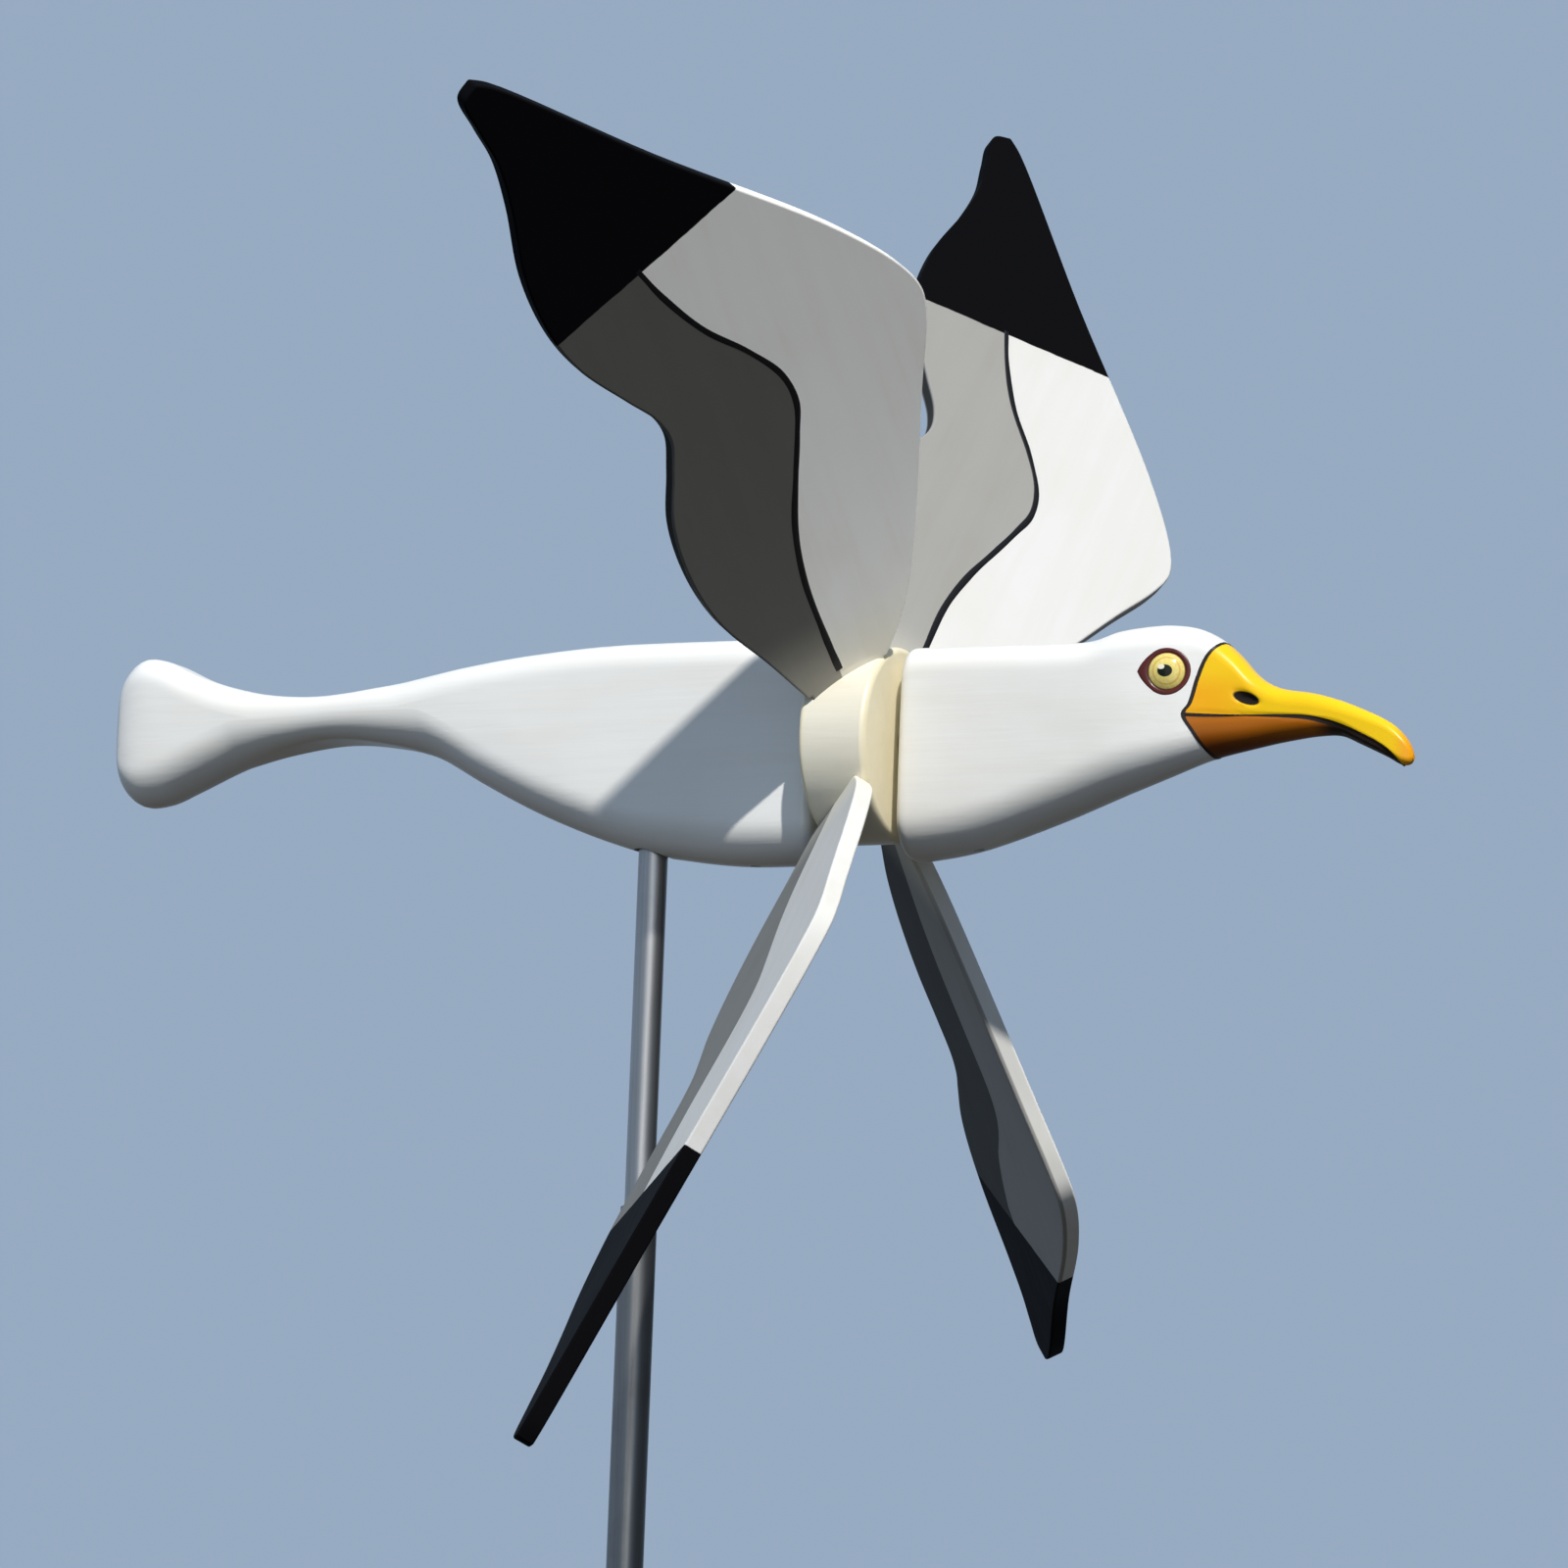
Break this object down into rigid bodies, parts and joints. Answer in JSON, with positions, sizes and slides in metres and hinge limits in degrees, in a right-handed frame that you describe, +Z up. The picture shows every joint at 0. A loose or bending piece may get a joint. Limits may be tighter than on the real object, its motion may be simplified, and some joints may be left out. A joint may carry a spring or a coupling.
{
  "type": "whirligig",
  "caption": "Painted wooden seagull whirligig: wing-shaped blades on a hub spin about an axle through the gull's body, which swivels on a vertical steel mast.",
  "frame": {"origin": "middle of the flat foot of the mast", "axes": "+Z up along the mast, +X toward the gull's bill, +Y to the gull's left; the swivel is at rest with the bill at +X"},
  "size_m": [0.6085, 0.6327, 1.0592],
  "materials": {
    "white_paint": "white gloss paint on wood",
    "cream_paint": "cream gloss paint on wood",
    "wing_paint": "white, grey and black paint on wood",
    "bill_paint": "yellow gloss paint on wood",
    "eye_glass": "glossy, black pupil on yellow",
    "steel": "plain bright rod",
    "zinc_steel": "zinc plated",
    "brass": "plain turned brass",
    "nylon": "natural nylon",
    "black_rubber": "moulded end plug",
    "beech_dowel": "bare beech dowel"
  },
  "bodies": {
    "mast": {"mast_foot_plug": "black_rubber", "mast_tube": "zinc_steel", "pivot_rod": "steel", "mast_thumb_screw": "steel"},
    "bird": {"rear_body": "white_paint", "front_body": "white_paint", "bill": "bill_paint", "bill_dowel": "beech_dowel", "eye_right": "eye_glass", "eye_left": "eye_glass", "axle": "steel", "front_axle_pin": "steel", "rear_axle_pin": "steel", "rear_nylon_washer": "nylon", "rear_steel_washer": "steel", "front_steel_washer": "steel", "pivot_sleeve": "brass", "pivot_disc": "steel"},
    "rotor": {"hub": "cream_paint", "front_hub_bushing": "brass", "rear_hub_bushing": "brass", "wing_1": "wing_paint", "wing_2": "wing_paint", "wing_3": "wing_paint", "wing_4": "wing_paint", "wing_screw_1": "steel", "wing_screw_2": "steel", "wing_screw_3": "steel", "wing_screw_4": "steel"}
  },
  "joints": [
    {"name": "bird_swivel", "type": "hinge", "parent": "mast", "child": "bird", "pos_m": [0, 0, 0.74], "axis": [0, 0, 1], "continuous": true},
    {"name": "rotor_spin", "type": "hinge", "parent": "bird", "child": "rotor", "pos_m": [0.101, 0, 0.74], "axis": [1, 0, 0], "continuous": true}
  ]
}
